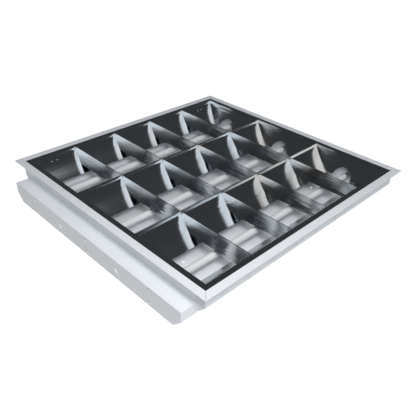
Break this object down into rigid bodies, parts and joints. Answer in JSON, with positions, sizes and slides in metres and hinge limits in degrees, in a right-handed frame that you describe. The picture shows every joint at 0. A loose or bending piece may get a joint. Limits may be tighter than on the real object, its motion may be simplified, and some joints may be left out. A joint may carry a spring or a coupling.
{
  "type": "recessed troffer light",
  "caption": "Square recessed ceiling light with T5 tubes behind a parabolic mirror louvre, and a gear box along one side.",
  "frame": {"origin": "middle of the flat roof, straight below the middle of the square flange", "axes": "+Z out of the light-emitting face, which lies up as in the picture; +X along the lamps, away from the gear box; +Y across the lamps"},
  "size_m": [0.6171, 0.595, 0.075],
  "materials": {
    "white_paint": "white semi-gloss powder coat",
    "mirror_aluminium": "bright anodised mirror",
    "zinc_screws": "zinc plated",
    "white_plastic": "white moulded plastic",
    "glass_tube": "white phosphor coated inside",
    "lamp_cap": "satin",
    "pin_brass": "tinned",
    "ballast_case": "galvanised sheet",
    "terminal_plastic": "moulded plastic",
    "grommet_rubber": "matt",
    "spring_steel": "spring steel",
    "wire_insulation": "wire insulation"
  },
  "bodies": {
    "housing": {"trim_frame": "white_paint", "housing_pan": "white_paint", "end_plate_gear": "white_paint", "end_plate_back": "white_paint", "gear_box_shell": "white_paint", "gear_box_cover": "white_paint", "cover_screws": "zinc_screws", "blanking_plugs": "white_plastic", "ballast_case": "ballast_case", "ballast_terminals": "terminal_plastic", "ballast_screws": "zinc_screws", "mains_terminal_block": "terminal_plastic", "terminal_screws": "zinc_screws", "earth_screw": "zinc_screws", "cable_grommet": "grommet_rubber", "wireway_cover": "white_paint", "lamp_wires": "wire_insulation", "lampholder_front_1": "white_plastic", "lampholder_back_1": "white_plastic", "lampholder_front_2": "white_plastic", "lampholder_back_2": "white_plastic", "lampholder_front_3": "white_plastic", "lampholder_back_3": "white_plastic", "louvre_springs": "spring_steel"},
    "louvre": {"side_reflector_right": "mirror_aluminium", "side_reflector_left": "mirror_aluminium", "divider_right": "mirror_aluminium", "divider_left": "mirror_aluminium", "end_panel_front": "mirror_aluminium", "end_panel_back": "mirror_aluminium", "cross_blade_1_1": "mirror_aluminium", "cross_blade_1_2": "mirror_aluminium", "cross_blade_1_3": "mirror_aluminium", "cross_blade_2_1": "mirror_aluminium", "cross_blade_2_2": "mirror_aluminium", "cross_blade_2_3": "mirror_aluminium", "cross_blade_3_1": "mirror_aluminium", "cross_blade_3_2": "mirror_aluminium", "cross_blade_3_3": "mirror_aluminium", "cross_blade_4_1": "mirror_aluminium", "cross_blade_4_2": "mirror_aluminium", "cross_blade_4_3": "mirror_aluminium"},
    "lamp_1": {"lamp_tube_1": "glass_tube", "lamp_caps_1": "lamp_cap", "lamp_pins_1": "pin_brass", "lamp_rotor_front_1": "white_plastic", "lamp_rotor_back_1": "white_plastic"},
    "lamp_2": {"lamp_tube_2": "glass_tube", "lamp_caps_2": "lamp_cap", "lamp_pins_2": "pin_brass", "lamp_rotor_front_2": "white_plastic", "lamp_rotor_back_2": "white_plastic"},
    "lamp_3": {"lamp_tube_3": "glass_tube", "lamp_caps_3": "lamp_cap", "lamp_pins_3": "pin_brass", "lamp_rotor_front_3": "white_plastic", "lamp_rotor_back_3": "white_plastic"}
  },
  "joints": [
    {"name": "louvre_lift_out", "type": "slide", "parent": "housing", "child": "louvre", "axis": [0, 0, 1], "range_m": [0, 0.08]},
    {"name": "lamp_1_twist", "type": "hinge", "parent": "housing", "child": "lamp_1", "pos_m": [0, -0.185, 0.025], "axis": [1, 0, 0], "range_deg": [0, 90]},
    {"name": "lamp_2_twist", "type": "hinge", "parent": "housing", "child": "lamp_2", "pos_m": [0, 0, 0.025], "axis": [1, 0, 0], "range_deg": [0, 90]},
    {"name": "lamp_3_twist", "type": "hinge", "parent": "housing", "child": "lamp_3", "pos_m": [0, 0.185, 0.025], "axis": [1, 0, 0], "range_deg": [0, 90]}
  ]
}
